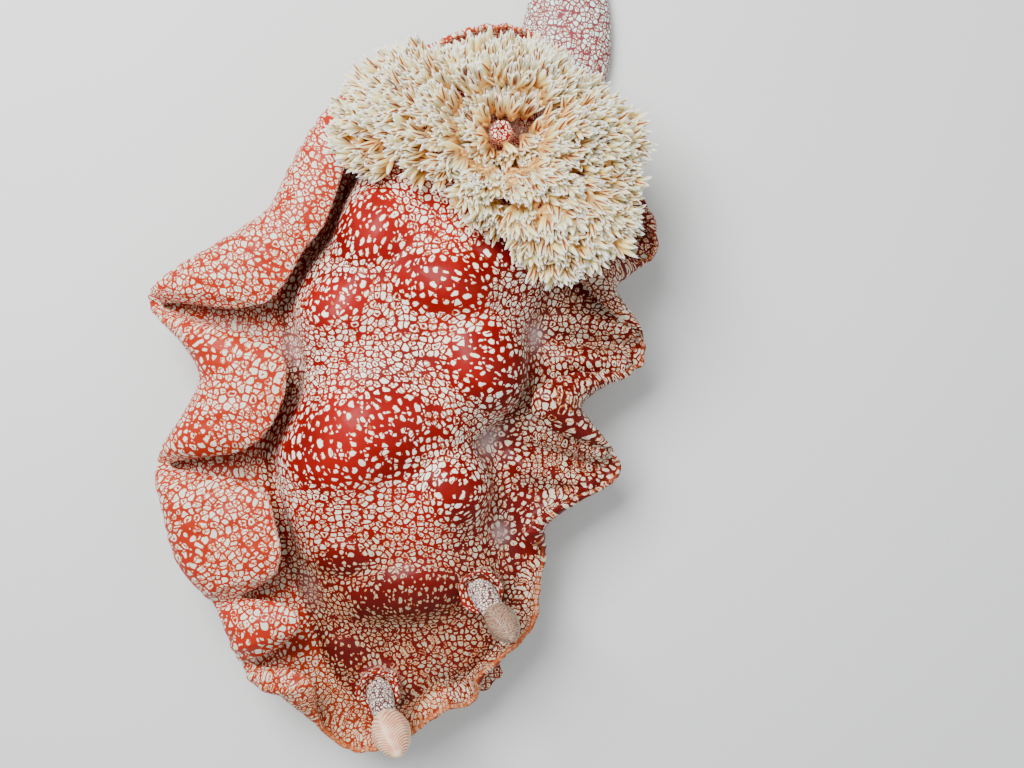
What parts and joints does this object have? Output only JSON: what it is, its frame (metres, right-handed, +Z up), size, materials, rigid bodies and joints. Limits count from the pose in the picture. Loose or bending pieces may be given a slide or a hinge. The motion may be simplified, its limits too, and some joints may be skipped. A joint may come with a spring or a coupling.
{
  "type": "spanish dancer nudibranch",
  "caption": "Spanish dancer sea slug crawling on its foot, with a ruffled mantle frill, a ring of branched gills on the rump, rhinophores, oral tentacles and a tapering tail.",
  "frame": {"origin": "a point on the flat sole under the middle of the body", "axes": "+Z up, head towards -Y, tail towards +Y, the animal's left side towards +X"},
  "size_m": [0.1709, 0.31, 0.0662],
  "materials": {
    "mantle_skin": "wet glossy deep red skin with creamy white ringed spots",
    "frill_skin": "wet glossy orange-red skin with dense pale spots and a pale orange edge",
    "foot_skin": "wet smooth red sole skin",
    "tail_skin": "wet skin of round whitish spots in a thin red net",
    "gill_tissue": "soft cream tissue with whitish tips and maroon veins",
    "rhinophore_tissue": "soft cream-pink ribbed tissue"
  },
  "bodies": {
    "root": {"head": "mantle_skin", "back": "mantle_skin", "rump": "mantle_skin", "foot": "foot_skin", "tail": "tail_skin", "frill_front": "frill_skin", "frill_left_fore": "frill_skin", "frill_left_hind": "frill_skin", "frill_right_fore": "frill_skin", "frill_right_hind": "frill_skin", "frill_rear": "frill_skin", "oral_tentacle_left": "mantle_skin", "oral_tentacle_right": "mantle_skin", "rhinophore_left": "rhinophore_tissue", "rhinophore_right": "rhinophore_tissue", "gill_1": "gill_tissue", "gill_2": "gill_tissue", "gill_3": "gill_tissue", "gill_4": "gill_tissue", "gill_5": "gill_tissue", "gill_6": "gill_tissue"}
  },
  "joints": []
}
